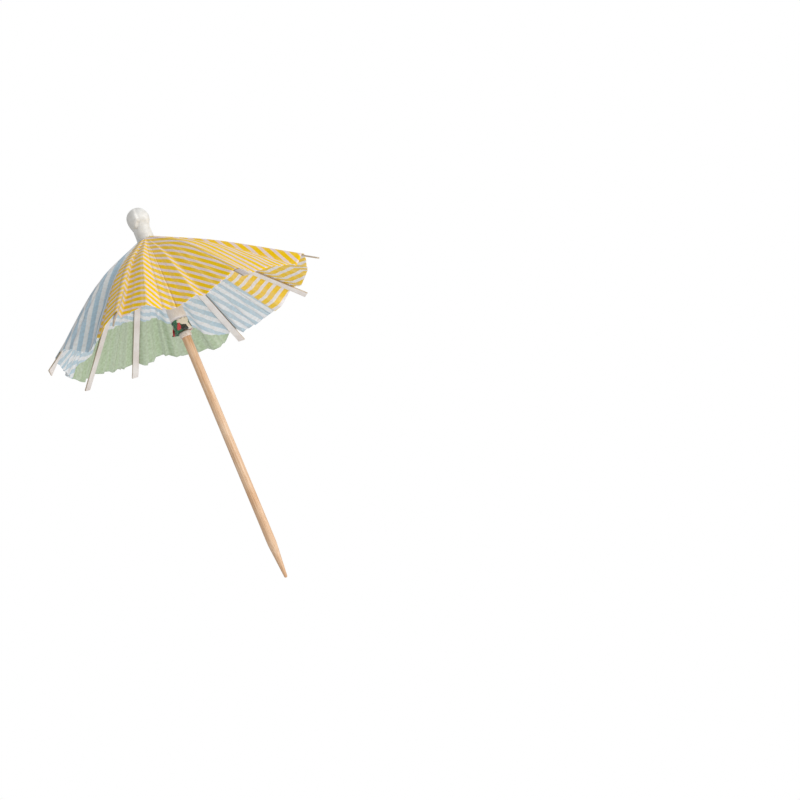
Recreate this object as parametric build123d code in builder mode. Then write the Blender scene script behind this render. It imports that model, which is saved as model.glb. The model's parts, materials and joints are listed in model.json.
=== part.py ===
from build123d import *
import os
from math import atan2, cos, degrees, radians, sin, sqrt

# Cocktail umbrella pick, open. Heights are measured from the shoulder where the
# round shank of the pick meets its point, and +Z runs along the pick to the cap.
# Azimuth 0 points to -Y and 90 to +X.

# Wooden pick
PICK_LENGTH = 100.0
PICK_DIAMETER = 2.4
PICK_TOP_DIAMETER = 2.45
SHANK_LENGTH = 25.0
POINT_LENGTH = 9.3
POINT_DIAMETER = 0.8

# White cap and the rolled card band under it
CAP_DIAMETER = 6.1
CAP_RISE = 3.4
NECK_DIAMETER = 4.5
BAND_DIAMETER = 3.9
BAND_LENGTH = 4.7
BAND_INSET = 0.7
BAND_FIT = 0.02

# Card ribs, bent to the open angle by hand. Each stands in its own upright plane, which is
# turned by its lean about the hinge, and is raised from the common angle by its lift
RIB_OVERHANG = 4.3
RIB_WIDTH = 1.75
RIB_ROOT_WIDTH = 1.3
RIB_ROOT_RUN = 6.0
RIB_THICKNESS = 0.4
RIB_ANGLE = 57.0
HINGE_RADIUS = 2.05
HINGE_GAP = 0.1
FIRST_RIB_AZIMUTH = 29.0
RIB_LEAN = (1, -4, 8, -3, -5, -29, -1, -6)
RIB_LIFT = (-0.5, 1.3, 1.0, -2.0, 0.5, 0.5, -1.5, 0.9)
RIB_COUNT = len(RIB_LEAN)

# Card struts between the ribs and the runner, and the tabs that glue them to the ribs
STRUT_REACH = 14.0
STRUT_LENGTH = 14.5
STRUT_WIDTH = 1.3
STRUT_THICKNESS = 0.4
STRUT_GAP = 0.05
TAB_LENGTH = 3.2
TAB_THICKNESS = 0.35
TAB_SETBACK = 0.35

# Runner: a card sleeve wound on a roll of printed paper that shows below it
SLEEVE_DIAMETER = 4.3
SLEEVE_WALL = 0.35
SLEEVE_LENGTH = 5.6
SLEEVE_LIP = 0.6
FOOT_GAP = 0.12
ROLL_DIAMETER = 4.4
ROLL_FLARE = 4.7
ROLL_SHOWN = 3.3
ROLL_INSET = 0.3
ROLL_FIT = 0.02
RUNNER_CLEARANCE = 0.07

# Clear ring that holds the runner up
RING_DIAMETER = 3.2
RING_HEIGHT = 1.4
RING_ROUNDING = 0.15
RING_CLEARANCE = 0.03
RING_GAP = 0.05

# Paper canopy. Each gore has three folds: its share of the way from one rib to the
# next, and how far the paper stands out of the flat gore at the rim, in pleat depths.
# Neighbouring panels meet at the middle fold. A gore's hang is how far its folds reach
# from the straight line between the ribs, 0, to the full reach of the paper, 1
PAPER_THICKNESS = 0.2
PAPER_GAP = 0.1
PAPER_START = 0.8
PAPER_REACH = 41.5
SEAM_GAP = 0.06
PLEAT_DEPTH = 1.0
GORE_FOLDS = (
    ((0.15, -1.5), (0.40, -0.9), (0.70, -1.2)),
    ((0.25, -1.0), (0.50, 0.4), (0.75, -1.4)),
    ((0.24, -1.6), (0.45, -1.4), (0.74, -1.6)),
    ((0.24, -3.2), (0.43, -0.9), (0.65, 1.5)),
    ((0.20, -0.3), (0.47, 0.3), (0.78, 0.8)),
    ((0.25, -1.5), (0.50, 0.5), (0.75, -2.0)),
    ((0.24, 1.1), (0.47, -3.8), (0.80, -1.3)),
    ((0.26, 0.3), (0.46, -3.2), (0.69, -2.8)),
)
GORE_HANG = (1.0, 0.6, 1.0, 1.0, 1.0, 0.45, 1.0, 1.0)

# Sizes that follow from those above
UP = Vector(0, 0, 1)
PICK_TOP = PICK_LENGTH - POINT_LENGTH
TOP_RADIUS = PICK_TOP_DIAMETER / 2
BAND_TOP = PICK_TOP - BAND_INSET
BAND_BOTTOM = BAND_TOP - BAND_LENGTH
HINGE_HEIGHT = BAND_BOTTOM - HINGE_GAP - RIB_THICKNESS / 2
RIB_LENGTH = PAPER_REACH + RIB_OVERHANG
PIVOT_DROP = RIB_THICKNESS / 2 + STRUT_GAP + STRUT_THICKNESS / 2
SLEEVE_RADIUS = SLEEVE_DIAMETER / 2
FOOT_RADIUS = SLEEVE_RADIUS + FOOT_GAP
PAPER_LIFT = RIB_THICKNESS / 2 + PAPER_GAP + PAPER_THICKNESS * sin(radians(RIB_ANGLE))


def heading(azimuth):
    """Level unit vector at an azimuth in degrees."""
    return Vector(sin(radians(azimuth)), -cos(radians(azimuth)), 0)


def rib_side(k):
    """Upright plane of rib k, from its hinge axis: x outwards, y up."""
    azimuth = FIRST_RIB_AZIMUTH + k * 360 / RIB_COUNT
    hinge = heading(azimuth) * HINGE_RADIUS + UP * HINGE_HEIGHT
    outward = heading(azimuth + RIB_LEAN[k])
    return Plane(hinge, x_dir=outward, z_dir=outward.cross(UP))


def rib_strip(k):
    """Middle plane of rib k's card, from its hinge axis: x along the rib, z to the paper."""
    side = rib_side(k)
    rise = sin(radians(RIB_ANGLE + RIB_LIFT[k]))
    run = cos(radians(RIB_ANGLE + RIB_LIFT[k]))
    return Plane(side.origin, x_dir=side.x_dir * rise - UP * run, z_dir=side.x_dir * run + UP * rise)


def strut_pivot(angle):
    """Strut's pivot under a rib at an angle to the pick, in the rib's upright plane."""
    rise, run = sin(radians(angle)), cos(radians(angle))
    return Vector(STRUT_REACH * rise - PIVOT_DROP * run, -STRUT_REACH * run - PIVOT_DROP * rise)


def foot_out(k):
    """How far outside its hinge strut k's foot stands, to lie just clear of the sleeve."""
    lean = radians(RIB_LEAN[k])
    sideways = max(0, HINGE_RADIUS * abs(sin(lean)) - STRUT_WIDTH / 2)
    return sqrt(FOOT_RADIUS**2 - sideways**2) - HINGE_RADIUS * cos(lean) + STRUT_THICKNESS / 2


# A rib with no lean or lift sets the runner's height, and every strut comes down to it
FOOT_LEVEL_OUT = FOOT_RADIUS - HINGE_RADIUS + STRUT_THICKNESS / 2
LEVEL_PIVOT = strut_pivot(RIB_ANGLE)
FOOT_UP = LEVEL_PIVOT.Y - sqrt(STRUT_LENGTH**2 - (LEVEL_PIVOT.X - FOOT_LEVEL_OUT) ** 2)
SLEEVE_TOP = HINGE_HEIGHT + FOOT_UP + SLEEVE_LIP
SLEEVE_BOTTOM = SLEEVE_TOP - SLEEVE_LENGTH
ROLL_BOTTOM = SLEEVE_BOTTOM - ROLL_SHOWN
RING_TOP = ROLL_BOTTOM - RING_GAP


def paper_edge(k, reach, side, width):
    """Point on the paper's upper face, at one side of rib k."""
    return rib_strip(k).from_local_coords(Vector(reach, side * width / 2, PAPER_LIFT))


def fold_line(k, fold, shift=0):
    """Both ends of a fold in the gore after rib k, moved sideways by the shift."""
    share, pleat = fold
    after = (k + 1) % RIB_COUNT
    near = paper_edge(k, PAPER_START, 1, RIB_ROOT_WIDTH)
    near_after = paper_edge(after, PAPER_START, -1, RIB_ROOT_WIDTH)
    rim = paper_edge(k, PAPER_REACH, 1, RIB_WIDTH)
    rim_after = paper_edge(after, PAPER_REACH, -1, RIB_WIDTH)
    across = rim_after - rim
    outward = (rim - near).cross(across).normalized()
    sideways = across.normalized() * shift
    near_end = near + (near_after - near) * share + sideways
    run = rim + across * share + outward * pleat * PLEAT_DEPTH + sideways - near_end
    hang = (PAPER_REACH - PAPER_START - run.length) * GORE_HANG[k]
    return near_end, near_end + run.normalized() * (run.length + hang)


def rib_line(k, side):
    """Both ends of the paper's line along one edge of rib k."""
    near_end = paper_edge(k, PAPER_START, side, RIB_ROOT_WIDTH)
    return near_end, paper_edge(k, PAPER_REACH, side, RIB_WIDTH)


def save(piece, name):
    piece.part.label = name
    export_step(piece.part, f"parts/{name}.step")


os.makedirs("parts", exist_ok=True)

# Pick: a turned stick with a blunt point, a straight lower shank and a slight swell above it
with BuildPart() as pick:
    with BuildSketch(Plane.XZ):
        with BuildLine():
            Polyline(
                (0, -POINT_LENGTH),
                (POINT_DIAMETER / 2, -POINT_LENGTH),
                (PICK_DIAMETER / 2, 0),
                (PICK_DIAMETER / 2, SHANK_LENGTH),
                (TOP_RADIUS, PICK_TOP),
                (0, PICK_TOP),
                close=True,
            )
        make_face()
    revolve(axis=Axis.Z)
save(pick, "pick")

# Crown band: the uncut edge of the rib card, rolled round the top of the pick
with BuildPart() as crown_band:
    with BuildSketch(Plane.XY.offset(BAND_BOTTOM)):
        Circle(BAND_DIAMETER / 2)
        Circle(TOP_RADIUS + BAND_FIT, mode=Mode.SUBTRACT)
    extrude(amount=BAND_LENGTH)
save(crown_band, "crown_band")

# Top cap: a white moulded ball whose neck covers the band, with a seat for the pick's end
CAP_RADIUS = CAP_DIAMETER / 2
CAP_TOP = PICK_TOP + CAP_RISE
CAP_MIDDLE = CAP_TOP - CAP_RADIUS
NECK_RADIUS = NECK_DIAMETER / 2
NECK_TOP = CAP_MIDDLE - sqrt(CAP_RADIUS**2 - NECK_RADIUS**2)
with BuildPart() as top_cap:
    with BuildSketch(Plane.XZ):
        with BuildLine():
            ThreePointArc((0, CAP_TOP), (CAP_RADIUS, CAP_MIDDLE), (NECK_RADIUS, NECK_TOP))
            Polyline(
                (NECK_RADIUS, NECK_TOP),
                (NECK_RADIUS, BAND_BOTTOM),
                (BAND_DIAMETER / 2 + BAND_FIT, BAND_BOTTOM),
                (BAND_DIAMETER / 2 + BAND_FIT, BAND_TOP + BAND_FIT),
                (TOP_RADIUS + BAND_FIT, BAND_TOP + BAND_FIT),
                (TOP_RADIUS + BAND_FIT, PICK_TOP + BAND_FIT),
                (0, PICK_TOP + BAND_FIT),
                (0, CAP_TOP),
            )
        make_face()
    revolve(axis=Axis.Z)
save(top_cap, "top_cap")

# Runner sleeve: plain card wound round the paper roll
with BuildPart() as runner_sleeve:
    with BuildSketch(Plane.XY.offset(SLEEVE_BOTTOM)):
        Circle(SLEEVE_RADIUS)
        Circle(SLEEVE_RADIUS - SLEEVE_WALL, mode=Mode.SUBTRACT)
    extrude(amount=SLEEVE_LENGTH)
save(runner_sleeve, "runner_sleeve")

# Paper roll: printed scrap rolled on the pick, tight inside the sleeve and flared below it
ROLL_CORE = SLEEVE_RADIUS - SLEEVE_WALL - ROLL_FIT
ROLL_BORE = TOP_RADIUS + RUNNER_CLEARANCE
with BuildPart() as paper_roll:
    with BuildSketch(Plane.XZ):
        with BuildLine():
            Polyline(
                (ROLL_BORE, ROLL_BOTTOM),
                (ROLL_FLARE / 2, ROLL_BOTTOM),
                (ROLL_DIAMETER / 2, SLEEVE_BOTTOM),
                (ROLL_CORE, SLEEVE_BOTTOM),
                (ROLL_CORE, SLEEVE_TOP - ROLL_INSET),
                (ROLL_BORE, SLEEVE_TOP - ROLL_INSET),
                close=True,
            )
        make_face()
    revolve(axis=Axis.Z)
save(paper_roll, "paper_roll")

# Lock ring: a slice of clear tube that grips the pick just under the roll
RING_BORE = TOP_RADIUS + RING_CLEARANCE
RING_WALL = RING_DIAMETER / 2 - RING_BORE
with BuildPart() as lock_ring:
    with BuildSketch(Plane.XZ):
        with Locations((RING_BORE + RING_WALL / 2, RING_TOP - RING_HEIGHT / 2)):
            RectangleRounded(RING_WALL, RING_HEIGHT, RING_ROUNDING)
    revolve(axis=Axis.Z)
save(lock_ring, "lock_ring")

for k in range(RIB_COUNT):
    side = rib_side(k)
    strip = rib_strip(k)

    # Rib: a card finger, narrow at its root, with the fold of its hinge as a round end
    with BuildPart() as rib:
        with BuildSketch(strip):
            with BuildLine():
                Polyline(
                    (0, -RIB_ROOT_WIDTH / 2),
                    (RIB_ROOT_RUN, -RIB_WIDTH / 2),
                    (RIB_LENGTH, -RIB_WIDTH / 2),
                    (RIB_LENGTH, RIB_WIDTH / 2),
                    (RIB_ROOT_RUN, RIB_WIDTH / 2),
                    (0, RIB_ROOT_WIDTH / 2),
                    close=True,
                )
            make_face()
        extrude(amount=RIB_THICKNESS / 2, both=True)
        with BuildSketch(side):
            Circle(RIB_THICKNESS / 2)
        extrude(amount=RIB_ROOT_WIDTH / 2, both=True)
    save(rib, f"rib_{k + 1}")

    # Strut tab: the strut's bent end, glued flat under the rib on the cap's side of the pivot
    with BuildPart() as strut_tab:
        with BuildSketch(strip.offset(-RIB_THICKNESS / 2)):
            with Locations((STRUT_REACH - TAB_SETBACK - TAB_LENGTH / 2, 0)):
                Rectangle(TAB_LENGTH, STRUT_WIDTH)
        extrude(amount=-TAB_THICKNESS)
    save(strut_tab, f"strut_tab_{k + 1}")

    # Strut: a card strip from its pivot under the rib to its foot beside the sleeve
    pivot = strut_pivot(RIB_ANGLE + RIB_LIFT[k])
    foot = Vector(foot_out(k), FOOT_UP)
    with BuildPart() as strut:
        with BuildSketch(side):
            with Locations((pivot + foot) / 2):
                SlotCenterToCenter(
                    (pivot - foot).length,
                    STRUT_THICKNESS,
                    rotation=degrees(atan2(pivot.Y - foot.Y, pivot.X - foot.X)),
                )
        extrude(amount=STRUT_WIDTH / 2, both=True)
    save(strut, f"strut_{k + 1}")

    # Canopy panel: the paper on rib k, out to the middle folds on both sides of it
    before = (k - 1) % RIB_COUNT
    lines = [
        fold_line(before, GORE_FOLDS[before][1], SEAM_GAP / 2),
        fold_line(before, GORE_FOLDS[before][2]),
        rib_line(k, -1),
        rib_line(k, 1),
        fold_line(k, GORE_FOLDS[k][0]),
        fold_line(k, GORE_FOLDS[k][1], -SEAM_GAP / 2),
    ]
    with BuildPart() as canopy_panel:
        for (near, rim), (near_next, rim_next) in zip(lines, lines[1:]):
            for corners in ((near, rim, rim_next), (near, rim_next, near_next)):
                facet = Face(Wire.make_polygon(corners))
                extrude(facet, amount=PAPER_THICKNESS, dir=-UP)
    save(canopy_panel, f"canopy_panel_{k + 1}")
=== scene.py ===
import json
import random
from math import atan2, cos, exp, hypot, pi, radians, sin

import bmesh
import bpy
from mathutils import Matrix, Vector, noise

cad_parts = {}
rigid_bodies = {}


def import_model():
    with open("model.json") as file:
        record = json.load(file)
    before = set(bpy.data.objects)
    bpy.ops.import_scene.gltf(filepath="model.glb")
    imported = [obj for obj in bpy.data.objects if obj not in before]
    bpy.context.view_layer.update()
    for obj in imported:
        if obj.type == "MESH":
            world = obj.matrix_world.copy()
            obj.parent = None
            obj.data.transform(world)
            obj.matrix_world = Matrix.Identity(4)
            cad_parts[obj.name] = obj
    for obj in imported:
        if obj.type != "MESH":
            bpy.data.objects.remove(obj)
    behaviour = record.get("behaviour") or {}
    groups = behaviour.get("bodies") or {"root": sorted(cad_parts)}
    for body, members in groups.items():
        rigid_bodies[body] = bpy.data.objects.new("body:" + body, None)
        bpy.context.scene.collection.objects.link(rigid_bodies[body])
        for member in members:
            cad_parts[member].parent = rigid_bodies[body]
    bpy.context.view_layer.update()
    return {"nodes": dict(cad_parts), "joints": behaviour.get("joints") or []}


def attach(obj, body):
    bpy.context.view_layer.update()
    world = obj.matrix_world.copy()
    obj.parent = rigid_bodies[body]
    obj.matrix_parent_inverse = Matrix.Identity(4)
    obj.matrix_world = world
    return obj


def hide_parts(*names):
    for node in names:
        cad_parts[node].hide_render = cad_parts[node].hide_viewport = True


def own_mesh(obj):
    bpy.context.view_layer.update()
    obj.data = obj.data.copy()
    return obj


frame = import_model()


# Pick: a stick of pale birch, turned round, sanded and pointed for the fruit. The cap is glued on
# its top, and the runner and the ring slide on it.
MM = 0.001
UP = Vector((0, 0, 1))
PICK_PROFILE = (
    (0, -9.3), (0.2, -9.28), (0.34, -9.17), (0.42, -8.95), (0.62, -6.6), (0.83, -4.1), (1.05, -1.6),
    (1.15, -0.5), (1.19, 0.2), (1.2, 1.2), (1.2, 25), (1.21, 60), (1.225, 90.6), (1.1, 90.7), (0, 90.7),
)
PICK_STEPS = 56
GRAIN_WIDTH = 0.28 * MM
GRAIN_LENGTH = 16 * MM
GRAIN_DEPTH = 0.03 * MM
PORE_WIDTH = 0.13 * MM
PORE_LENGTH = 3.2 * MM
FIGURE_SIZE = 9 * MM
TINT_TOP = 2 * MM
TINT_TIP = -9.3 * MM


def linear(code):
    """Linear colour of an sRGB hex code."""
    parts = [int(code[i:i + 2], 16) / 255 for i in (1, 3, 5)]
    return tuple(c / 12.92 if c <= 0.04045 else ((c + 0.055) / 1.055) ** 2.4 for c in parts) + (1.0,)


def fill(tree, node, inputs):
    """Sets a node's inputs to values, or links them to other nodes' outputs."""
    for socket, value in inputs.items():
        if isinstance(value, bpy.types.NodeSocket):
            tree.links.new(value, node.inputs[socket])
        else:
            node.inputs[socket].default_value = value


def add(tree, kind, inputs=None, stops=None, **settings):
    """Adds a node with its settings, its inputs' values or links, and a ramp's stops."""
    node = tree.nodes.new(kind)
    for key, value in settings.items():
        setattr(node, key, value)
    fill(tree, node, inputs or {})
    for i, (place, code) in enumerate(stops or ()):
        ramp = node.color_ramp.elements
        stop = ramp[i] if i < len(ramp) else ramp.new(place)
        stop.position = place
        stop.color = linear(code)
    return node


def finish(name):
    """A new material, its node tree and its shader."""
    made = bpy.data.materials.new(name)
    made.use_nodes = True
    return made, made.node_tree, made.node_tree.nodes["Principled BSDF"]


def lathe(profile, steps, closed=False):
    """Shell spun round the pick's axis from a profile of radius and height in mm."""
    bm = bmesh.new()
    points = [bm.verts.new((r * MM, 0, z * MM)) for r, z in profile]
    ends = points[1:] + points[:1] if closed else points[1:]
    edges = [bm.edges.new(pair) for pair in zip(points, ends)]
    bmesh.ops.spin(
        bm, geom=points + edges, axis=UP, cent=(0, 0, 0), steps=steps, angle=2 * pi, use_merge=True,
    )
    bmesh.ops.remove_doubles(bm, verts=bm.verts, dist=1e-7)
    bmesh.ops.recalc_face_normals(bm, faces=bm.faces)
    return bm


def settle(name, bm, materials, body, nodes, sharp=40):
    """Makes the piece from its mesh, smooth but for edges over the sharp angle, in place of its nodes."""
    for face in bm.faces:
        face.smooth = True
    for edge in bm.edges:
        edge.smooth = edge.smooth and edge.calc_face_angle(0) < radians(sharp)
    mesh = bpy.data.meshes.new(name)
    bm.to_mesh(mesh)
    bm.free()
    for material in materials:
        mesh.materials.append(material)
    piece = bpy.data.objects.new(name, mesh)
    bpy.context.scene.collection.objects.link(piece)
    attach(piece, body)
    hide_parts(*nodes)
    return piece


# Birch, turned and sanded: pale and warm, with fine straight grain, short dark pores and a bare, dry sheen.
# It is a little browner towards the point. The pores are drawn coarser than real ones, so that they show.
birch, tree, shader = finish("turned_birch")
place = add(tree, "ShaderNodeTexCoord").outputs["Object"]
grain_scale = (1 / GRAIN_WIDTH, 1 / GRAIN_WIDTH, 1 / GRAIN_LENGTH)
along_grain = add(tree, "ShaderNodeMapping", {"Vector": place, "Scale": grain_scale}).outputs[0]
grain = add(
    tree, "ShaderNodeTexNoise", {"Vector": along_grain, "Scale": 1.0, "Detail": 5.0, "Roughness": 0.6},
).outputs[0]
pore_scale = (1 / PORE_WIDTH, 1 / PORE_WIDTH, 1 / PORE_LENGTH)
along_pores = add(tree, "ShaderNodeMapping", {"Vector": place, "Scale": pore_scale}).outputs[0]
pores = add(tree, "ShaderNodeTexNoise", {"Vector": along_pores, "Scale": 1.0, "Detail": 2.0}).outputs[0]
pore_mask = add(tree, "ShaderNodeMapRange", {"Value": pores, "From Min": 0.6, "From Max": 0.72}).outputs[0]
figure = add(
    tree, "ShaderNodeTexNoise", {"Vector": place, "Scale": 1 / FIGURE_SIZE, "Detail": 1.0},
).outputs[0]
wood = add(
    tree, "ShaderNodeValToRGB", {"Fac": grain},
    [(0.3, "#CDA680"), (0.46, "#E3C1A0"), (0.6, "#EED1B4"), (0.75, "#F6E1CE")],
).outputs[0]
warm = add(tree, "ShaderNodeValToRGB", {"Fac": figure}, [(0.35, "#E4C7A4"), (0.65, "#FFFFFF")]).outputs[0]
figured = add(
    tree, "ShaderNodeMix", {"Factor": 0.55, "A": wood, "B": warm}, data_type="RGBA", blend_type="MULTIPLY",
).outputs["Result"]
pored = add(
    tree, "ShaderNodeMix", {"Factor": pore_mask, "A": figured, "B": linear("#B98B5E")}, data_type="RGBA",
).outputs["Result"]
height = add(tree, "ShaderNodeSeparateXYZ", {"Vector": place}).outputs["Z"]
tint = add(
    tree, "ShaderNodeMapRange", {"Value": height, "From Min": TINT_TOP, "From Max": TINT_TIP, "To Max": 0.45},
).outputs[0]
pointed = add(
    tree, "ShaderNodeMix", {"Factor": tint, "A": pored, "B": linear("#C4956A")}, data_type="RGBA",
).outputs["Result"]
bump = add(tree, "ShaderNodeBump", {"Height": grain, "Strength": 0.25, "Distance": GRAIN_DEPTH}).outputs[0]
fill(tree, shader, {"Base Color": pointed, "Normal": bump, "Roughness": 0.55, "IOR": 1.5})

settle("pick_stick", lathe(PICK_PROFILE, PICK_STEPS), [birch], "pick", ["pick"])


# Ribs: eight fingers cut from one sheet of thin card, white on its inner face, and bent open by hand.
# Each folds at the crown, is bent where its strut pushes it up, and carries the paper, which is glued
# along it. Its end stands out past the rim and is a little twisted.
RIB_COUNT = 8
RIB_LENGTH = 45.8
RIB_WIDTH = 1.75
RIB_ROOT_WIDTH = 1.3
RIB_ROOT_RUN = 6.0
RIB_THICKNESS = 0.4
RIB_ANGLE = 57.0
RIB_LIFT = (-0.5, 1.3, 1.0, -2.0, 0.5, 0.5, -1.5, 0.9)
RIB_BOW = (2.2, 0.85, 1.2, 1.2, 1.2, 1.5, 2.3, 1.8)
RIB_TWIST = (0, 0, -10, 6, 4, -5, 58, 46)
RIB_SEED = 100
TWIST_POWER = 8
BEND_RISE = 3.3
BEND_FALL = 1.95
BEND_POWER = 4
CUT_STEP = 2.2
CUT_WANDER = 0.035
CUT_SLANT = 0.25
CARD_ROUNDING = 0.05
CARD_CORNER = 30
FIBRE_WIDTH = 0.09 * MM
FIBRE_LENGTH = 0.9 * MM
FIBRE_DEPTH = 0.02 * MM
SMUDGE_SIZE = 6 * MM
PULP_SIZE = 0.25 * MM
PULP_DEPTH = 0.03 * MM
FLECK_SIZE = 0.3 * MM
FLECK_DEPTH = 0.02 * MM
BACK_MATERIAL = 2

joints = {j["name"]: j for j in frame["joints"]}


def rib_frame(k):
    """Hinge of rib k and its unit vectors: outwards, along the rib, to the next rib, and to the paper."""
    joint = joints[f"rib_fold_{k + 1}"]
    side = Vector(joint["axis"]).normalized()
    outward = Vector((side.y, -side.x, 0))
    angle = radians(RIB_ANGLE + RIB_LIFT[k])
    along = outward * sin(angle) - UP * cos(angle)
    return Vector(joint["pos_m"]), outward, along, side, outward * cos(angle) + UP * sin(angle)


def bend(k, reach):
    """How far rib k is bent out to the paper at a reach, in mm."""
    rise = BEND_RISE * max(0, reach / RIB_LENGTH)
    fall = BEND_FALL * (1 - reach / RIB_LENGTH)
    return RIB_BOW[k] * rise * fall / (rise ** BEND_POWER + fall ** BEND_POWER) ** (1 / BEND_POWER)


def rib_point(k, reach, across, lift):
    """Place on the bent and twisted rib k: mm along it, across it to the next rib, and out to the paper."""
    hinge, _, along, side, normal = rib_frame(k)
    twist = radians(RIB_TWIST[k]) * max(0, reach / RIB_LENGTH) ** TWIST_POWER
    turned_side = side * cos(twist) + normal * sin(twist)
    turned_normal = normal * cos(twist) - side * sin(twist)
    arm = along * reach + turned_side * across + turned_normal * lift + normal * bend(k, reach)
    return hinge + arm * MM


def card_strip(pairs, thickness):
    """Flat strip of card through pairs of edge points in mm, with soft edges.

    Its cut sides take the second material.
    """
    bm = bmesh.new()
    rows = [[bm.verts.new((x * MM, y * MM, -thickness / 2 * MM)) for x, y in pair] for pair in pairs]
    faces = [bm.faces.new((a[0], b[0], b[1], a[1])) for a, b in zip(rows, rows[1:])]
    grown = bmesh.ops.extrude_face_region(bm, geom=faces, use_keep_orig=True)
    top = [v for v in grown["geom"] if isinstance(v, bmesh.types.BMVert)]
    bmesh.ops.translate(bm, verts=top, vec=(0, 0, thickness * MM))
    bmesh.ops.recalc_face_normals(bm, faces=bm.faces)
    for face in bm.faces:
        face.material_index = 0 if abs(face.normal.z) > 0.5 else 1
    corners = [e for e in bm.edges if e.calc_face_angle(0) > radians(CARD_CORNER)]
    bmesh.ops.bevel(
        bm, geom=corners, offset=CARD_ROUNDING * MM, segments=2, profile=0.5, affect="EDGES", material=-1,
    )
    bm.normal_update()
    return bm


# White greyboard, rolled smooth and cut with a die: faint fibres and handling smudges on its faces.
# The fibres are drawn coarser than real ones, so that they show.
card, tree, shader = finish("white_card")
place = add(tree, "ShaderNodeTexCoord").outputs["Object"]
fibre_scale = (1 / FIBRE_WIDTH, 1 / FIBRE_WIDTH, 1 / FIBRE_LENGTH)
along_fibres = add(tree, "ShaderNodeMapping", {"Vector": place, "Scale": fibre_scale}).outputs[0]
fibres = add(tree, "ShaderNodeTexNoise", {"Vector": along_fibres, "Scale": 1.0, "Detail": 4.0}).outputs[0]
smudges = add(
    tree, "ShaderNodeTexNoise", {"Vector": place, "Scale": 1 / SMUDGE_SIZE, "Detail": 3.0},
).outputs[0]
board = add(
    tree, "ShaderNodeValToRGB", {"Fac": fibres}, [(0.3, "#E4DDD9"), (0.5, "#EFEAE7"), (0.7, "#F7F4F2")],
).outputs[0]
handled = add(tree, "ShaderNodeValToRGB", {"Fac": smudges}, [(0.35, "#ECE4E0"), (0.6, "#FFFFFF")]).outputs[0]
card_colour = add(
    tree, "ShaderNodeMix", {"Factor": 0.7, "A": board, "B": handled}, data_type="RGBA", blend_type="MULTIPLY",
).outputs["Result"]
bump = add(tree, "ShaderNodeBump", {"Height": fibres, "Strength": 0.2, "Distance": FIBRE_DEPTH}).outputs[0]
fill(tree, shader, {"Base Color": card_colour, "Normal": bump, "Roughness": 0.8})

# The card's cut sides: grey and brown pulp in thin layers, darker where the die has pressed it.
cut_card, tree, shader = finish("cut_card_edge")
place = add(tree, "ShaderNodeTexCoord").outputs["Object"]
pulp = add(
    tree, "ShaderNodeTexNoise", {"Vector": place, "Scale": 1 / PULP_SIZE, "Detail": 4.0, "Roughness": 0.7},
).outputs[0]
pulp_colour = add(
    tree, "ShaderNodeValToRGB", {"Fac": pulp}, [(0.3, "#AD9C86"), (0.55, "#C4B49D"), (0.75, "#D8CBB8")],
).outputs[0]
bump = add(tree, "ShaderNodeBump", {"Height": pulp, "Strength": 0.4, "Distance": PULP_DEPTH}).outputs[0]
fill(tree, shader, {"Base Color": pulp_colour, "Normal": bump, "Roughness": 0.95})

# The card's back, which the ribs turn to the paper: flat grey with darker flecks of waste pulp. The grey
# is painted shade: the back keeps it only on the rib ends past the paper, which it darkens as if shaded.
rib_end_painted_shade, tree, shader = finish("grey_painted_shade_on_rib_ends")
place = add(tree, "ShaderNodeTexCoord").outputs["Object"]
flecks = add(
    tree, "ShaderNodeTexNoise", {"Vector": place, "Scale": 1 / FLECK_SIZE, "Detail": 5.0, "Roughness": 0.7},
).outputs[0]
painted_shade_colour = add(
    tree, "ShaderNodeValToRGB", {"Fac": flecks}, [(0.3, "#B3A8A4"), (0.5, "#C6BDBA"), (0.7, "#D2CAC7")],
).outputs[0]
bump = add(tree, "ShaderNodeBump", {"Height": flecks, "Strength": 0.25, "Distance": FLECK_DEPTH}).outputs[0]
fill(tree, shader, {"Base Color": painted_shade_colour, "Normal": bump, "Roughness": 0.9})

for k in range(RIB_COUNT):
    wander = random.Random(RIB_SEED + k)
    steps = round((RIB_LENGTH - RIB_ROOT_RUN) / CUT_STEP)
    root_edge = RIB_ROOT_WIDTH / 2
    pairs = [((x, -root_edge), (x, root_edge)) for x in (-RIB_THICKNESS / 2, RIB_ROOT_RUN / 3)]
    for i in range(steps + 1):
        reach = RIB_ROOT_RUN + (RIB_LENGTH - RIB_ROOT_RUN) * i / steps
        slant = wander.uniform(-CUT_SLANT, CUT_SLANT) if i == steps else 0
        edges = [half * (RIB_WIDTH / 2 + wander.uniform(-CUT_WANDER, CUT_WANDER)) for half in (-1, 1)]
        pairs.append(((reach - max(0, slant), edges[0]), (reach + min(0, slant), edges[1])))
    bm = card_strip(pairs, RIB_THICKNESS)
    # The faces turned to the paper take the grey of painted shade, and the print where the paper covers them.
    for face in bm.faces:
        face.material_index = BACK_MATERIAL if face.normal.z > 0.9 else face.material_index
    for vert in bm.verts:
        vert.co = rib_point(k, *(vert.co / MM))
    settle(f"card_rib_{k + 1}", bm, [card, cut_card, rib_end_painted_shade], f"rib_{k + 1}", [f"rib_{k + 1}"])


# Struts: eight narrow strips of the same card. One end is glued flat under its rib as a tab and bent
# down to the strut's fold, and the other stands beside the runner, so pushing the runner up spreads
# the ribs.
STRUT_REACH = 14.0
STRUT_WIDTH = 1.3
STRUT_THICKNESS = 0.4
TAB_LENGTH = 3.2
TAB_THICKNESS = 0.35
TAB_SETBACK = 0.5
TAB_STEPS = 5
LEG_BENDS = ((0.25, 0.1), (0.4, 0.3))
FOLD_CLEARANCE = 0.13

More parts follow.
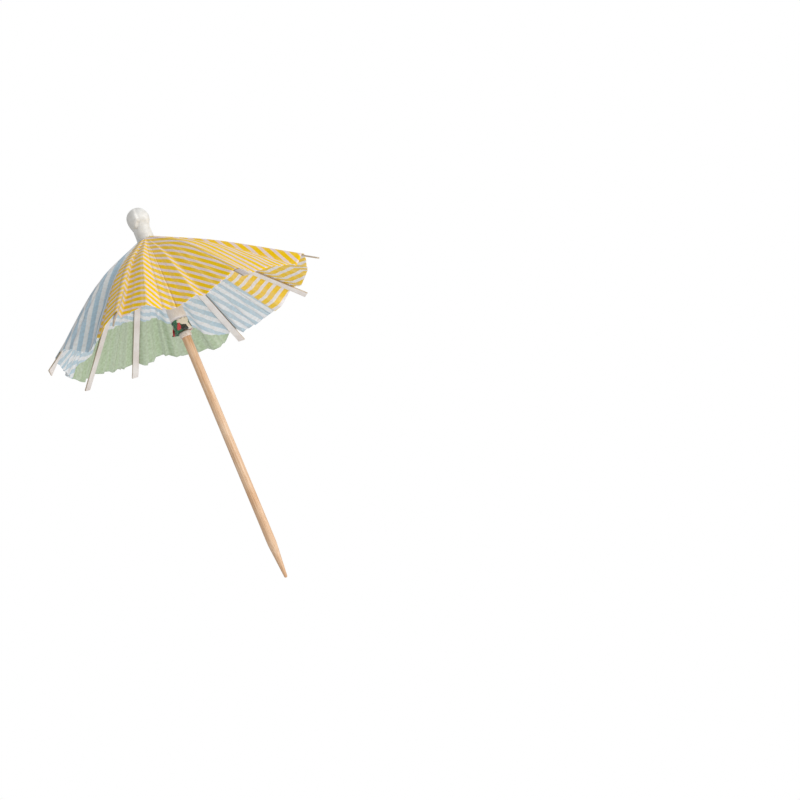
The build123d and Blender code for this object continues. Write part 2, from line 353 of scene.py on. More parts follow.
for k in range(RIB_COUNT):
    hinge, outward, along, side, normal = rib_frame(k)
    half = STRUT_WIDTH / 2
    drop = (RIB_THICKNESS + TAB_THICKNESS) / 2
    tab_end = STRUT_REACH - TAB_SETBACK
    line = [tab_end - TAB_LENGTH * (1 - i / TAB_STEPS) for i in range(TAB_STEPS + 1)]
    line = [(reach, bend(k, reach) - drop) for reach in line]
    tab_height = line[-1][1]
    line += [(tab_end + past, tab_height - below) for past, below in LEG_BENDS]
    line.append((STRUT_REACH, -FOLD_CLEARANCE))
    bm = bmesh.new()
    rows = []
    for reach, lift in line:
        middle = hinge + (along * reach + normal * lift) * MM
        rows.append([bm.verts.new(middle + side * edge * half * MM) for edge in (-1, 1)])
    faces = [bm.faces.new((a[0], b[0], b[1], a[1])) for a, b in zip(rows, rows[1:])]
    bmesh.ops.solidify(bm, geom=faces, thickness=TAB_THICKNESS * MM)
    bmesh.ops.recalc_face_normals(bm, faces=bm.faces)
    for face in bm.faces:
        face.material_index = 1 if abs(face.normal.dot(side)) > 0.7 else 0
    settle(f"glued_tab_{k + 1}", bm, [card, cut_card], f"rib_{k + 1}", [f"strut_tab_{k + 1}"])

    pivot = Vector(joints[f"strut_fold_{k + 1}"]["pos_m"])
    corners = [v.co for v in frame["nodes"][f"strut_{k + 1}"].data.vertices]
    furthest = max((c - pivot).dot(-outward) for c in corners)
    foot = [c for c in corners if (c - pivot).dot(-outward) > furthest - STRUT_THICKNESS / 2 * MM]
    lean = sum(foot, Vector()) / len(foot) - pivot
    lean = (lean - side * lean.dot(side)).normalized()
    length = max((c - pivot).dot(lean) for c in corners) / MM
    bm = card_strip([((x, -half), (x, half)) for x in (-STRUT_THICKNESS / 2, length)], STRUT_THICKNESS)
    turn = Matrix((lean, side, lean.cross(side))).transposed().to_4x4()
    bmesh.ops.transform(bm, matrix=Matrix.Translation(pivot) @ turn, verts=bm.verts)
    settle(f"card_strut_{k + 1}", bm, [card, cut_card], f"strut_{k + 1}", [f"strut_{k + 1}"])


# Canopy: one round of thin printed tissue, pleated from the crown to its cut rim and glued along the
# ribs. It is made in two half petals for each rib, and neighbours share the same middle fold, so they
# close up to one sheet, and each half is carried by its rib.
PAPER_THICKNESS = 0.12
PAPER_LIFT = 0.468
PAPER_REACH = 41.5
GORE_FOLDS = (
    ((0.15, -1.5), (0.40, -0.9), (0.70, -1.4), (0.89, -2.5)),
    ((0.25, -1.0), (0.50, 0.4), (0.75, -1.4)),
    ((0.23, -2.2), (0.45, -2.0), (0.58, -1.95), (0.84, -2.2), (0.89, -2.7)),
    (
        (0.157, -3.9), (0.23, -3.4), (0.265, -2.1), (0.43, -1.3), (0.52, -1.1), (0.56, -0.4), (0.6, -0.6),
        (0.67, 1.2), (0.8, 0.7), (0.834, -0.9), (0.94, -0.9),
    ),
    ((0.19, 0.4), (0.305, -0.65), (0.35, 0.05), (0.47, -0.25), (0.92, 0.3)),
    ((0.25, -1.5), (0.50, 0.5), (0.75, -2.0)),
    ((0.24, 1.1), (0.47, -3.8), (0.81, -0.8)),
    ((0.02, -1.9), (0.25, 0.2), (0.36, -2.6), (0.46, -3.2), (0.63, -1.8), (0.69, -2.8), (0.79, -1.9)),
)
MIDDLE_FOLD = (0.40, 0.50, 0.45, 0.43, 0.47, 0.50, 0.47, 0.46)
SAME_SHARE = 1e-9
GORE_HANG = (1.0, 0.6, 1.0, 1.0, 1.0, 0.45, 1.0, 1.0)
PLEAT_RISE = (0.1, 0.06, 0.2, 0.42, 0.5, 0.38, 0.22, 0.1)
PLEAT_SPREAD = (0.4, 1.4)
PLEAT_SHIFT = 0.3
PLEAT_SEED = 500
KNIFE_PLEAT = 3.6
PLEAT_STEP = 0.4
COLUMN_STEP = 0.45
ROWS = 72
PUFF = 0.25
CRUMPLE_SIZE = 7.0
CRUMPLE_DEPTH = 0.3
CRINKLE_SIZE = 1.5
CRINKLE_DEPTH = 0.05
FREE_RISE = 5
RIM_WANDER = ((3.1, 0.22), (0.9, 0.05))
RIM_POWER = 8
RIM_LEVEL = 9
FOLD_WEAR = 0.4
FLAT_SPAN = 100.0
FLAT_CENTRE = Vector((0.5, 0.5))
PETAL_CREASE = 28


def paper_edge(k, reach, edge):
    """Point on the paper's outer face at one side of rib k, in mm along the rib."""
    width = RIB_ROOT_WIDTH + (RIB_WIDTH - RIB_ROOT_WIDTH) * min(1, reach / RIB_ROOT_RUN)
    return rib_point(k % RIB_COUNT, reach, edge * width / 2, PAPER_LIFT)


def along_line(knots, share):
    """Height at a share on the line through knots of share and height."""
    for (start, low), (end, high) in zip(knots, knots[1:]):
        if share <= end:
            return low + (high - low) * (share - start) / (end - start)
    return knots[-1][1]


# Each gore between two ribs: its corners at the crown and at the rim, its outward face and its rim's width.
GORES = []
for k in range(RIB_COUNT):
    near, rim = paper_edge(k, 0, 1), paper_edge(k, PAPER_REACH, 1)
    rim_after = paper_edge(k + 1, PAPER_REACH, -1)
    out = (rim - near).cross(rim_after - rim).normalized()
    GORES.append((near, paper_edge(k + 1, 0, -1), rim, rim_after, out, (rim_after - rim).length / MM))


def all_folds(k):
    """Share and height of every fold of gore k: its main folds, with small knife pleats laid over them."""
    chance = random.Random(PLEAT_SEED + k)
    main = [(0.0, 0.0), *GORE_FOLDS[k], (1.0, 0.0)]
    width = GORES[k][5]
    count = round(width / KNIFE_PLEAT)
    pleats = [(0.0, 0.0)]
    for i in range(1, count):
        place = (i + chance.uniform(-PLEAT_SHIFT, PLEAT_SHIFT)) / count
        rise = PLEAT_RISE[k] * chance.uniform(*PLEAT_SPREAD) * chance.choice((-1, 1))
        pleats += [(place - PLEAT_STEP / width / 2, rise), (place + PLEAT_STEP / width / 2, -rise)]
    pleats.append((1.0, 0.0))
    shares = sorted({s for s, _ in main} | {s for s, _ in pleats})
    return [(s, along_line(main, s) + along_line(pleats, s)) for s in shares]


FOLDS = [all_folds(k) for k in range(RIB_COUNT)]


def gore_columns(k):
    """Shares across gore k for the mesh's columns, with one on every fold."""
    shares = [0.0]
    for (start, _), (end, _) in zip(FOLDS[k], FOLDS[k][1:]):
        count = max(1, round((end - start) * GORES[k][5] / COLUMN_STEP))
        shares += [start + (end - start) * i / count for i in range(1, count + 1)]
    return shares


def rim_fold(k, share):
    """Rim point of the paper's line at a share of gore k, folded in or out, with the paper's whole length."""
    near, near_after, rim, rim_after, out, _ = GORES[k]
    crown = near.lerp(near_after, share)
    run = rim.lerp(rim_after, share) + out * along_line(FOLDS[k], share) * MM - crown
    hang = (PAPER_REACH * MM - run.length) * GORE_HANG[k]
    return crown + run.normalized() * (run.length + hang)


# Turn on the flat round of paper at both edges of each gore, in degrees, as the run of its stripes shows.
# Between them the paper is laid out by its length along the pleated rim.
FLAT_TURNS = (
    (42, 86), (88.5, 124), (126, 155), (157, 199), (201.5, 228.5), (231, 290.5), (293, 327), (329, 397),
)
angles = {}
for k in range(RIB_COUNT):
    columns = gore_columns(k)
    points = [rim_fold(k, share) for share in columns]
    runs = [0.0]
    for a, b in zip(points, points[1:]):
        runs.append(runs[-1] + (b - a).length)
    start, end = FLAT_TURNS[k]
    for share, run in zip(columns, runs):
        angles[k, share] = radians(start + (end - start) * run / runs[-1])


def paper_point(k, share, down):
    """Place of the crumpled paper, its place on the flat round in mm, and how worn its fold is.

    Down is 0 at the crown and 1 at the rim.
    """
    near, _, rim, rim_after, out, width = GORES[k]
    reach = PAPER_REACH * down
    flat = Vector((sin(angles[k, share]), -cos(angles[k, share]), 0)) * reach
    end = rim_fold(k, share)
    crumple = noise.noise(flat / CRUMPLE_SIZE) * CRUMPLE_DEPTH
    crumple += noise.noise(flat / CRINKLE_SIZE) * CRINKLE_DEPTH
    free = min(1.0, FREE_RISE * min(share, 1 - share))
    point = paper_edge(k, reach, 1).lerp(paper_edge(k + 1, reach, -1), share)
    point += (end - rim.lerp(rim_after, share)) * down
    point += out * (crumple * down + PUFF * sin(pi * down)) * free * MM
    ragged = sum(noise.noise(flat / size + UP * RIM_LEVEL) * depth for size, depth in RIM_WANDER)
    point += (end - near).normalized() * ragged * down ** RIM_POWER * MM
    nearest = min(abs(share - s) for s, _ in FOLDS[k])
    return point, flat, exp(-((nearest * width * down / FOLD_WEAR) ** 2))


# Tissue, printed on one side with two striped fields and a plain one: soft, matt and slightly creped,
# with uneven ink that is rubbed off along the folds. The print shows paler through the inner face.
# The crepe is drawn coarser than the real one, so that it shows.
STRIPE_TURN = 49.0
STRIPE_PITCH = 2.3
FIELD_TURN = 46.5
FIELD_EDGE = 0.2
BAND_TURN = 43.5
BAND_PITCH = 2.05
PLAIN_TURN = 208.0
PLAIN_EDGE = 26.9
INK_SHARE = {"stripe": 0.6, "band": 0.52}
INK_SOFTNESS = 0.06
INK_BLEED = 0.07
LINE_WOBBLE = 0.14
LINE_BLEED = 0.1
FIELD_BLEED = 0.25
BLEED_SIZE = 1 / 3
MOTTLE_SIZE = 0.7
CREPE_SIZE = 0.35
CREPE_DEPTH = 0.05 * MM
HAND_SIZE = 6.0


def heading(turn):
    """Direction on the flat paper at a turn in degrees."""
    return (sin(radians(turn)), -cos(radians(turn)), 0)


def tissue(name, colours, worn_share):
    """Printed tissue in the colours of one face."""
    made, tree, shader = finish(name)
    flat = add(tree, "ShaderNodeUVMap", uv_map="flat_paper").outputs[0]
    corner = (-FLAT_SPAN / 2, -FLAT_SPAN / 2, 0)
    spread = add(
        tree, "ShaderNodeMapping", {"Vector": flat, "Location": corner, "Scale": (FLAT_SPAN,) * 3},
    ).outputs[0]
    wobble, bleed, mottle, crepe = (
        add(tree, "ShaderNodeTexNoise", {"Vector": spread, "Scale": 1 / size, "Detail": detail}).outputs[0]
        for size, detail in ((HAND_SIZE, 2.0), (BLEED_SIZE, 3.0), (MOTTLE_SIZE, 4.0), (CREPE_SIZE, 3.0))
    )
    fields = {}
    for key, turn, pitch in (("stripe", STRIPE_TURN + 90, STRIPE_PITCH), ("band", BAND_TURN, BAND_PITCH)):
        run = add(tree, "ShaderNodeVectorMath", {0: spread, 1: heading(turn)}, operation="DOT_PRODUCT")
        steps = add(
            tree, "ShaderNodeMath", {0: run.outputs["Value"], 1: pitch}, operation="DIVIDE",
        ).outputs[0]
        for cause, share in ((wobble, LINE_WOBBLE), (bleed, LINE_BLEED)):
            steps = add(
                tree, "ShaderNodeMath", {0: cause, 1: share, 2: steps}, operation="MULTIPLY_ADD",
            ).outputs[0]
        ink, bare, last = colours[key], colours["bare_" + key], INK_SHARE[key]
        fields[key] = add(
            tree, "ShaderNodeValToRGB",
            {"Fac": add(tree, "ShaderNodeMath", {0: steps}, operation="FRACT").outputs[0]},
            [(0.0, bare), (INK_SOFTNESS, ink), (last, ink), (last + INK_SOFTNESS, bare), (1.0, bare)],
        ).outputs[0]
    masks = {}
    for key, turn, edge in (("field", FIELD_TURN, FIELD_EDGE), ("plain", PLAIN_TURN, PLAIN_EDGE)):
        run = add(tree, "ShaderNodeVectorMath", {0: spread, 1: heading(turn)}, operation="DOT_PRODUCT")
        edged = add(
            tree, "ShaderNodeMath", {0: bleed, 1: FIELD_BLEED, 2: run.outputs["Value"]},
            operation="MULTIPLY_ADD",
        ).outputs[0]
        masks[key] = add(
            tree, "ShaderNodeMapRange",
            {"Value": edged, "From Min": edge - INK_BLEED, "From Max": edge + INK_BLEED},
        ).outputs[0]
    plain = add(
        tree, "ShaderNodeValToRGB", {"Fac": mottle}, [(0.3, colours["plain_dark"]), (0.7, colours["plain"])],
    ).outputs[0]
    printed = add(
        tree, "ShaderNodeMix", {"Factor": masks["field"], "A": fields["band"], "B": fields["stripe"]},
        data_type="RGBA",
    ).outputs["Result"]
    printed = add(
        tree, "ShaderNodeMix", {"Factor": masks["plain"], "A": printed, "B": plain}, data_type="RGBA",
    ).outputs["Result"]
    uneven = add(
        tree, "ShaderNodeValToRGB", {"Fac": mottle}, [(0.3, "#E9E2DC"), (0.65, "#FFFFFF")],
    ).outputs[0]
    printed = add(
        tree, "ShaderNodeMix", {"Factor": 0.6, "A": printed, "B": uneven},
        data_type="RGBA", blend_type="MULTIPLY",
    ).outputs["Result"]
    worn = add(tree, "ShaderNodeAttribute", attribute_name="fold_wear").outputs["Fac"]
    rubbed = add(tree, "ShaderNodeMath", {0: worn, 1: worn_share}, operation="MULTIPLY").outputs[0]
    colour = add(
        tree, "ShaderNodeMix", {"Factor": rubbed, "A": printed, "B": linear(colours["bare_stripe"])},
        data_type="RGBA",
    ).outputs["Result"]
    bump = add(
        tree, "ShaderNodeBump", {"Height": crepe, "Strength": 0.35, "Distance": CREPE_DEPTH},
    ).outputs[0]
    fill(
        tree, shader,
        {
            "Base Color": colour, "Normal": bump, "Roughness": 0.85, "Sheen Weight": 0.04,
            "Specular IOR Level": 0.15,
        },
    )
    return made


printed_face = tissue(
    "printed_tissue",
    {
        "bare_stripe": "#F0E0E2", "stripe": "#FDD300", "bare_band": "#EFF4F5", "band": "#BBD6E6",
        "plain": "#6FA35C", "plain_dark": "#578F47",
    },
    worn_share=0.12,
)
inner_face = tissue(
    "tissue_inner_face",
    {
        "bare_stripe": "#F1EEF0", "stripe": "#FBD448", "bare_band": "#ECF1F6", "band": "#C1D8E6",
        "plain": "#C3D5BA", "plain_dark": "#B3C9A7",
    },
    worn_share=0.15,
)

# The paper that is glued on each rib's back is drawn on the rib itself, in the print of the flat round.
for k in range(RIB_COUNT):
    rib = bpy.data.objects[f"card_rib_{k + 1}"].data
    rib.materials.append(printed_face)
    hinge, _, along, side, _ = rib_frame(k)
    turn = radians((FLAT_TURNS[k - 1][1] % 360 + FLAT_TURNS[k][0]) / 2)
    uv = rib.uv_layers.new(name="flat_paper")
    # Under the paper the back faces take the print, so the grey painted shade stays only on the rib ends.
    for face in rib.polygons:
        if face.material_index == BACK_MATERIAL and (face.center - hinge).dot(along) < PAPER_REACH * MM:
            face.material_index = BACK_MATERIAL + 1
        for loop in face.loop_indices:
            arm = (rib.vertices[rib.loops[loop].vertex_index].co - hinge) / MM
            down, over = arm.dot(along), arm.dot(side)
            flat = Vector((sin(turn) * down + cos(turn) * over, -cos(turn) * down + sin(turn) * over))
            uv.data[loop].uv = flat / FLAT_SPAN + FLAT_CENTRE

for k in range(RIB_COUNT):
    before = (k - 1) % RIB_COUNT
    seam, along = paper_edge(k, PAPER_REACH, -1), rib_frame(k)[2]
    left = [(before, s) for s in gore_columns(before) if s >= MIDDLE_FOLD[before] - SAME_SHARE]
    right = [(before, 1.0)] + [(k, s) for s in gore_columns(k) if s <= MIDDLE_FOLD[k] + SAME_SHARE]
    for hand, columns, middle in (("left", left, left[0]), ("right", right, right[-1])):
        bm = bmesh.new()
        bmesh.ops.create_grid(bm, x_segments=len(columns) - 1, y_segments=ROWS, size=0.5)
        bmesh.ops.reverse_faces(bm, faces=bm.faces)
        flat_places = {}
        wear = bm.verts.layers.float.new("fold_wear")
        for vert in bm.verts:
            gore, share = columns[round((vert.co.x + 0.5) * (len(columns) - 1))]
            down = round((vert.co.y + 0.5) * ROWS) / ROWS
            vert.co, flat_places[vert], vert[wear] = paper_point(gore, share, down)
        uv = bm.loops.layers.uv.new("flat_paper")
        for face in bm.faces:
            for loop in face.loops:
                loop[uv].uv = flat_places[loop.vert].xy / FLAT_SPAN + FLAT_CENTRE
        petal = settle(
            f"paper_petal_{k + 1}_{hand}", bm, [printed_face, inner_face], f"rib_{k + 1}",
            [f"canopy_panel_{k + 1}"], sharp=PETAL_CREASE,
        )
        spread = rim_fold(*middle) - seam
        spread -= along * spread.dot(along)
        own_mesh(petal)
        thick = petal.modifiers.new("paper_thickness", "SOLIDIFY")
        thick.thickness = PAPER_THICKNESS * MM
        thick.offset = -1.0
        thick.material_offset = 1


# Crown band: the uncut edge of the rib card, rolled round the pick's top. It is white card like the
# ribs, and the cap's neck is pressed over it and hides it.
band = frame["nodes"]["crown_band"]
band.data.materials.clear()
band.data.materials.append(card)


# Cap: a ball and neck of white modelling paste, pressed over the pick's top by hand while soft. The
# paste was wrapped round from the left, so a lap runs down its front and back under the ball.
CAP_PROFILE = (
    (1.3, 85.33), (2.0, 85.3), (2.2, 85.35), (2.25, 85.6), (2.25, 86.2), (2.25, 86.8), (2.25, 87.4),
    (2.25, 88.0), (2.27, 88.4), (2.33, 88.8), (2.47, 89.2), (2.66, 89.6), (2.84, 90.0), (2.97, 90.45),
    (3.04, 90.9), (3.04, 91.3), (2.97, 91.8), (2.82, 92.3), (2.58, 92.75), (2.25, 93.15), (1.83, 93.5),
    (1.32, 93.8), (0.7, 94.0), (0, 94.06),
)
CAP_STEPS = 72
CAP_MIDDLE = 0.4
CAP_CREASE = 70
BALL_START = 88.2
BALL_RUN = 1.5
BALL_LEAN = 0.4
LAP_AZIMUTH = -6.0
LAP_RAISE = 0.5
LAP_SINK = 0.7
LAP_SOFTNESS = 0.1
LAP_HEIGHT = 90.2
LAP_SLOPE = 0.5
SAG_DROP = 0.7
SAG_HEIGHT = 89.6
SAG_RUN = 1.3
SAG_SETBACK = 0.3
LUMP_SIZE = 2.4
LUMP_DEPTH = 0.1
MARK_SIZE = 1.1 * MM
MARK_DEPTH = 0.06 * MM
GRIT_SIZE = 0.18 * MM

cap = lathe(CAP_PROFILE, CAP_STEPS)
bmesh.ops.subdivide_edges(cap, edges=cap.edges[:], cuts=1, use_grid_fill=True)
for vert in cap.verts:
    place = vert.co / MM
    radius = hypot(place.x, place.y)
    ball = min(1, max(0, (place.z - BALL_START) / BALL_RUN))
    if radius > CAP_MIDDLE:
        turn = atan2(place.x, -place.y)
        left_of_lap = (radians(LAP_AZIMUTH) - turn) * radius
        above_edge = place.z - (LAP_HEIGHT - LAP_SLOPE * max(0, left_of_lap))
        inside = min(left_of_lap, above_edge, (pi + turn) * radius)
        wrapped = 1 / (1 + exp(-inside / LAP_SOFTNESS))
        lump = noise.noise(place / LUMP_SIZE) * LUMP_DEPTH
        swell = (LAP_RAISE * (wrapped - LAP_SINK) * ball + lump) * min(1, radius / 2) / radius
        vert.co.x += place.x * swell * MM
        vert.co.y += place.y * swell * MM
        sag = min(1, max(0, left_of_lap - SAG_SETBACK)) * exp(-(((place.z - SAG_HEIGHT) / SAG_RUN) ** 2))
        vert.co.z -= SAG_DROP * sag * MM
    vert.co.x += BALL_LEAN * ball * MM
bmesh.ops.smooth_vert(cap, verts=cap.verts, factor=0.2, use_axis_x=True, use_axis_y=True, use_axis_z=False)

# Paper clay, pressed smooth and dried: off-white satin with faint finger marks and fine grit.
clay, tree, shader = finish("white_paper_clay")
place = add(tree, "ShaderNodeTexCoord").outputs["Object"]
marks = add(tree, "ShaderNodeTexNoise", {"Vector": place, "Scale": 1 / MARK_SIZE, "Detail": 4.0}).outputs[0]
grit = add(tree, "ShaderNodeTexNoise", {"Vector": place, "Scale": 1 / GRIT_SIZE, "Detail": 3.0}).outputs[0]
clay_colour = add(
    tree, "ShaderNodeValToRGB", {"Fac": marks}, [(0.3, "#E3E1DC"), (0.5, "#ECEBE7"), (0.7, "#F3F2EF")],
).outputs[0]
relief = add(tree, "ShaderNodeMath", {0: grit, 1: 0.25, 2: marks}, operation="MULTIPLY_ADD").outputs[0]
bump = add(tree, "ShaderNodeBump", {"Height": relief, "Strength": 0.3, "Distance": MARK_DEPTH}).outputs[0]
satin = add(tree, "ShaderNodeMapRange", {"Value": marks, "To Min": 0.38, "To Max": 0.56}).outputs[0]
fill(tree, shader, {"Base Color": clay_colour, "Roughness": satin, "Normal": bump})

settle("clay_cap", cap, [clay], "pick", ["top_cap"], sharp=CAP_CREASE)


# Runner sleeve: a strip of the white card wound round the paper roll and glued, so its outer end
# shows as a straight step.
SLEEVE_INNER = 1.8
SLEEVE_LAYER = 0.17
SLEEVE_LOW = 62.64
SLEEVE_HIGH = 68.24
SLEEVE_TURNS = 2.0
SLEEVE_START = 35
SLEEVE_RAGGED = 0.08
WIND_STEPS = 64
WIND_ROWS = 6
WIND_PITCH = 1.02
LOOSE_SHARE = 0.3
LOOSE_POWER = 1.5
RAGGED_WAVES = 1.7
RAGGED_LEVEL = 3


def wound_strip(inner, layer, low, high, turns, start, flare=0.0, ragged=0.0, loose=0.0):
    """Strip wound round the pick from a start turn in degrees, each turn outside the last.

    Flare widens its low end, ragged makes that end uneven, and loose lifts the low corner of its outer end.
    """

    def outwards(vert):
        return Vector((vert.co.x, vert.co.y, 0)).normalized()

    def down(vert):
        return min(1, max(0, (high - vert.co.z / MM) / (high - low)))

    bm = bmesh.new()
    heights = [low + (high - low) * i / WIND_ROWS for i in range(WIND_ROWS + 1)]
    outline = [(inner, z) for z in heights] + [(inner + layer, z) for z in reversed(heights)]
    face = bm.faces.new([bm.verts.new((r * MM, 0, z * MM)) for r, z in outline])
    first = Matrix.Rotation(radians(start - 90), 3, "Z")
    bmesh.ops.rotate(bm, verts=bm.verts, cent=(0, 0, 0), matrix=first)
    step = Matrix.Rotation(2 * pi / WIND_STEPS, 3, "Z")
    steps = int(turns * WIND_STEPS)
    loose_steps = LOOSE_SHARE * WIND_STEPS
    lift = [loose * max(0, 1 - (steps - i) / loose_steps) ** LOOSE_POWER for i in range(steps + 1)]
    for i in range(steps):
        grown = bmesh.ops.extrude_face_region(bm, geom=[face], use_keep_orig=i == 0)
        verts = [g for g in grown["geom"] if isinstance(g, bmesh.types.BMVert)]
        face = [g for g in grown["geom"] if isinstance(g, bmesh.types.BMFace)][0]
        bmesh.ops.rotate(bm, verts=verts, cent=(0, 0, 0), matrix=step)
        for vert in verts:
            growth = layer * WIND_PITCH / WIND_STEPS + (lift[i + 1] - lift[i]) * down(vert) ** 2
            vert.co += outwards(vert) * growth * MM
    for vert in bm.verts:
        out, low_share = outwards(vert), down(vert)
        vert.co += out * flare * low_share ** 2 * MM
        vert.co.z += noise.noise(out * RAGGED_WAVES + UP * RAGGED_LEVEL) * ragged * low_share * MM
    bmesh.ops.recalc_face_normals(bm, faces=bm.faces)
    return bm


sleeve = wound_strip(
    SLEEVE_INNER, SLEEVE_LAYER, SLEEVE_LOW, SLEEVE_HIGH, SLEEVE_TURNS, SLEEVE_START, ragged=SLEEVE_RAGGED,
)
settle("wound_sleeve", sleeve, [card, cut_card], "runner", ["runner_sleeve"])


# Paper roll: a strip of printed scrap rolled on the pick inside the sleeve. It shows below the sleeve,
# where its loose end flares, and it slides up and down with the sleeve.
ROLL_BORE = 1.295
ROLL_LAYER = 0.115
ROLL_LOW = 59.335
ROLL_GAP = 0.02
ROLL_TURNS = 7.2
ROLL_START = -155
ROLL_FLARE = 0.3
ROLL_RAGGED = 0.18
ROLL_LOOSE = 0.8
PATCH_SIZE = 1.5 * MM
WARP_SIZE = 1.6 * MM
WARP_REACH = 0.9 * MM
SCRAP_FIBRE = 0.2 * MM
SCRAP_DEPTH = 0.02 * MM

# Coated scrap paper, printed in several inks and cut anyhow: small patches of colour on a cream ground.
scrap, tree, shader = finish("printed_scrap")
place = add(tree, "ShaderNodeTexCoord").outputs["Object"]
warp = add(
    tree, "ShaderNodeTexNoise", {"Vector": place, "Scale": 1 / WARP_SIZE, "Detail": 2.0},
).outputs["Color"]
warped = add(
    tree, "ShaderNodeVectorMath", {0: warp, 1: (WARP_REACH,) * 3, 2: place}, operation="MULTIPLY_ADD",
).outputs[0]
patches = add(tree, "ShaderNodeTexVoronoi", {"Vector": warped, "Scale": 1 / PATCH_SIZE, "Randomness": 1.0})
pick_one = add(tree, "ShaderNodeSeparateColor", {"Color": patches.outputs["Color"]}).outputs[0]
inks = add(
    tree, "ShaderNodeValToRGB", {"Fac": pick_one},
    [
        (0.0, "#2C6B4A"), (0.24, "#E9E4D6"), (0.44, "#D8404A"), (0.62, "#3C8A62"), (0.78, "#26302B"),
        (0.9, "#E9E4D6"),
    ],
)
inks.color_ramp.interpolation = "CONSTANT"
fibre = add(tree, "ShaderNodeTexNoise", {"Vector": place, "Scale": 1 / SCRAP_FIBRE, "Detail": 3.0}).outputs[0]
rub = add(
    tree, "ShaderNodeMapRange", {"Value": fibre, "From Min": 0.55, "From Max": 0.75, "To Max": 0.4},
).outputs[0]
rubbed = add(
    tree, "ShaderNodeMix", {"Factor": rub, "A": inks.outputs[0], "B": linear("#EDE8DC")}, data_type="RGBA",
).outputs["Result"]
bump = add(tree, "ShaderNodeBump", {"Height": fibre, "Strength": 0.2, "Distance": SCRAP_DEPTH}).outputs[0]
fill(tree, shader, {"Base Color": rubbed, "Normal": bump, "Roughness": 0.5})

roll = wound_strip(
    ROLL_BORE, ROLL_LAYER, ROLL_LOW, SLEEVE_LOW - ROLL_GAP, ROLL_TURNS, ROLL_START,
    ROLL_FLARE, ROLL_RAGGED, ROLL_LOOSE,
)
settle("paper_roll_end", roll, [scrap, cut_card], "runner", ["paper_roll"])


# Lock ring: a slice of clear plastic tube pushed on the pick. It grips just under the roll and keeps
# the umbrella open.
RING_PROFILE = (
    (1.27, 57.95), (1.35, 57.89), (1.48, 57.89), (1.57, 57.96), (1.6, 58.1), (1.6, 58.6), (1.6, 59.08),
    (1.57, 59.21), (1.48, 59.28), (1.35, 59.28), (1.27, 59.22),
)
RING_STEPS = 64
HAZE_SIZE = 0.5 * MM

# Soft vinyl, extruded and sliced: milky and half clear, with a scuffed gloss.
vinyl, tree, shader = finish("clear_vinyl")
place = add(tree, "ShaderNodeTexCoord").outputs["Object"]
haze = add(tree, "ShaderNodeTexNoise", {"Vector": place, "Scale": 1 / HAZE_SIZE, "Detail": 3.0}).outputs[0]
milky = add(tree, "ShaderNodeValToRGB", {"Fac": haze}, [(0.3, "#F7E6DB"), (0.7, "#FDF6F0")]).outputs[0]
scuff = add(tree, "ShaderNodeMapRange", {"Value": haze, "To Min": 0.18, "To Max": 0.42}).outputs[0]
fill(tree, shader, {"Base Color": milky, "Roughness": scuff, "Transmission Weight": 0.25, "IOR": 1.53})

ring = lathe(RING_PROFILE, RING_STEPS, closed=True)
settle("vinyl_ring", ring, [vinyl], "lock_ring", ["lock_ring"])


# Studio: a pale painted floor well below the pick, three soft lights in a white room, and a camera at
# the photograph's angle. Lights are given as right, up, back, power and size, from the camera's view.
FLOOR_HEIGHT = -0.45
FLOOR_SIDE = 8.0
FLOOR_SHADE = 0.5
VIEW_ELEVATION = -10.61
VIEW_AZIMUTH = 0.44
VIEW_ROLL = 22.56
VIEW_DISTANCE = 1.5
FRAME_SIDE = 800
PIXEL = 0.255 * MM
SENSOR = 36
NEAREST = 0.05
FURTHEST = 20
SEEN_POINT = Vector((0, 0, 45 * MM))
SEEN_AT = (205.4, 382.9)
LIT_POINT = Vector((0, 0, 65 * MM))
LIGHTS = {
    "key_light": (0.6, 0.42, 0.4, 2.8, 0.4),
    "top_light": (0.35, 0.6, 0.2, 0.7, 0.5),
    "low_light": (0.22, -0.3, 0.35, 1.2, 0.5),
}
ROOM_LIGHT = 0.53

bm = bmesh.new()
bmesh.ops.create_grid(bm, x_segments=2, y_segments=2, size=FLOOR_SIDE / 2)
bmesh.ops.translate(bm, verts=bm.verts, vec=(0, 0, FLOOR_HEIGHT))
floor_mesh = bpy.data.meshes.new("studio_floor")
bm.to_mesh(floor_mesh)
bm.free()
paint, tree, shader = finish("pale_floor_paint")
place = add(tree, "ShaderNodeTexCoord").outputs["Object"]
shade = add(tree, "ShaderNodeTexNoise", {"Vector": place, "Scale": 1 / FLOOR_SHADE}).outputs[0]
pale = add(tree, "ShaderNodeValToRGB", {"Fac": shade}, [(0.3, "#F1F0EE"), (0.7, "#F6F5F3")]).outputs[0]
fill(tree, shader, {"Base Color": pale, "Roughness": 0.9})
floor_mesh.materials.append(paint)
floor = bpy.data.objects.new("studio_floor", floor_mesh)
bpy.context.scene.collection.objects.link(floor)

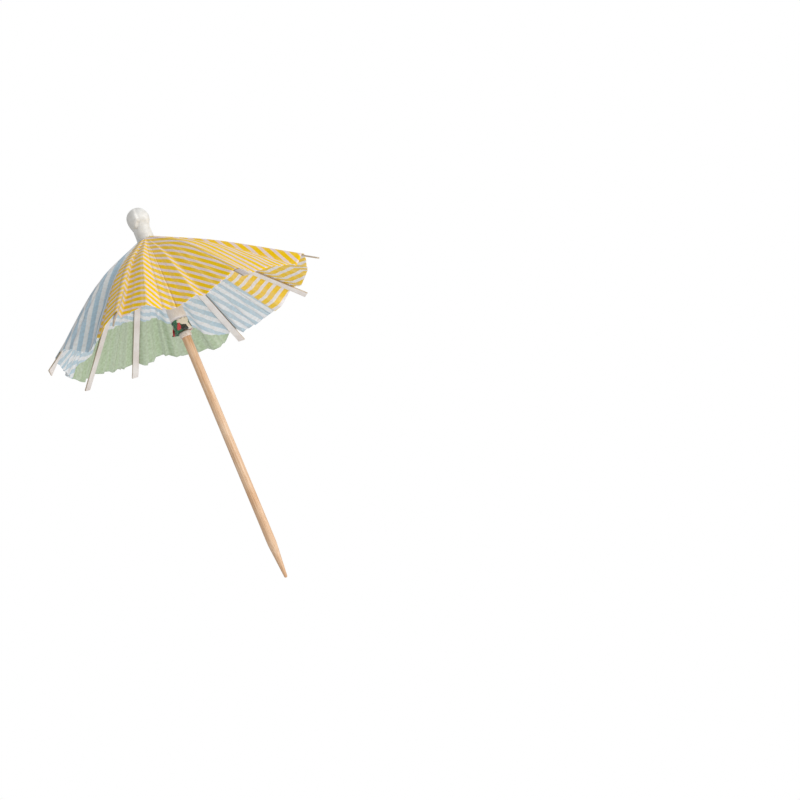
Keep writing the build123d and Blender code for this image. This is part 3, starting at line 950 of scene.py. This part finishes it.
azimuth, elevation, roll_turn = radians(VIEW_AZIMUTH), radians(VIEW_ELEVATION), radians(VIEW_ROLL)
back = Vector((sin(azimuth) * cos(elevation), -cos(azimuth) * cos(elevation), sin(elevation)))
level = Vector((cos(azimuth), sin(azimuth), 0))
upright = back.cross(level)
view_up = upright * cos(roll_turn) + level * sin(roll_turn)
view_right = level * cos(roll_turn) - upright * sin(roll_turn)
centre_x = (FRAME_SIDE / 2 - SEEN_AT[0]) * PIXEL
centre_y = (FRAME_SIDE / 2 - SEEN_AT[1]) * PIXEL
aim = SEEN_POINT + view_right * centre_x - view_up * centre_y
eye = SEEN_POINT + back * VIEW_DISTANCE
look_back = (eye - aim).normalized()
look_right = view_up.cross(look_back).normalized()
look_up = look_back.cross(look_right)

camera_data = bpy.data.cameras.new("photo_camera")
camera_data.sensor_width = SENSOR
camera_data.lens = SENSOR * VIEW_DISTANCE / (FRAME_SIDE * PIXEL)
camera_data.clip_start = NEAREST
camera_data.clip_end = FURTHEST
camera = bpy.data.objects.new("photo_camera", camera_data)
bpy.context.scene.collection.objects.link(camera)
camera.matrix_world = Matrix.Translation(eye) @ Matrix((look_right, look_up, look_back)).transposed().to_4x4()
bpy.context.scene.camera = camera

for name, (right_by, up_by, back_by, power, size) in LIGHTS.items():
    light = bpy.data.lights.new(name, "AREA")
    light.energy = power
    light.size = size
    lamp = bpy.data.objects.new(name, light)
    bpy.context.scene.collection.objects.link(lamp)
    lamp.location = LIT_POINT + view_right * right_by + view_up * up_by + back * back_by
    lamp.rotation_mode = "QUATERNION"
    lamp.rotation_quaternion = (LIT_POINT - lamp.location).to_track_quat("-Z", "Y")

# The room lights the part softly, and the camera sees it as a plain white backdrop.
world = bpy.data.worlds.new("white_room")
bpy.context.scene.world = world
world.use_nodes = True
tree = world.node_tree
room = tree.nodes["Background"]
fill(tree, room, {"Color": linear("#FFFFFF"), "Strength": ROOM_LIGHT})
backdrop = add(tree, "ShaderNodeBackground", {"Color": linear("#FFFFFF"), "Strength": 1.0})
seen = add(tree, "ShaderNodeLightPath").outputs["Is Camera Ray"]
mixed = add(tree, "ShaderNodeMixShader", {0: seen, 1: room.outputs[0], 2: backdrop.outputs[0]})
tree.links.new(mixed.outputs[0], tree.nodes["World Output"].inputs["Surface"])
bpy.context.scene.view_settings.view_transform = "Standard"

bpy.context.view_layer.update()
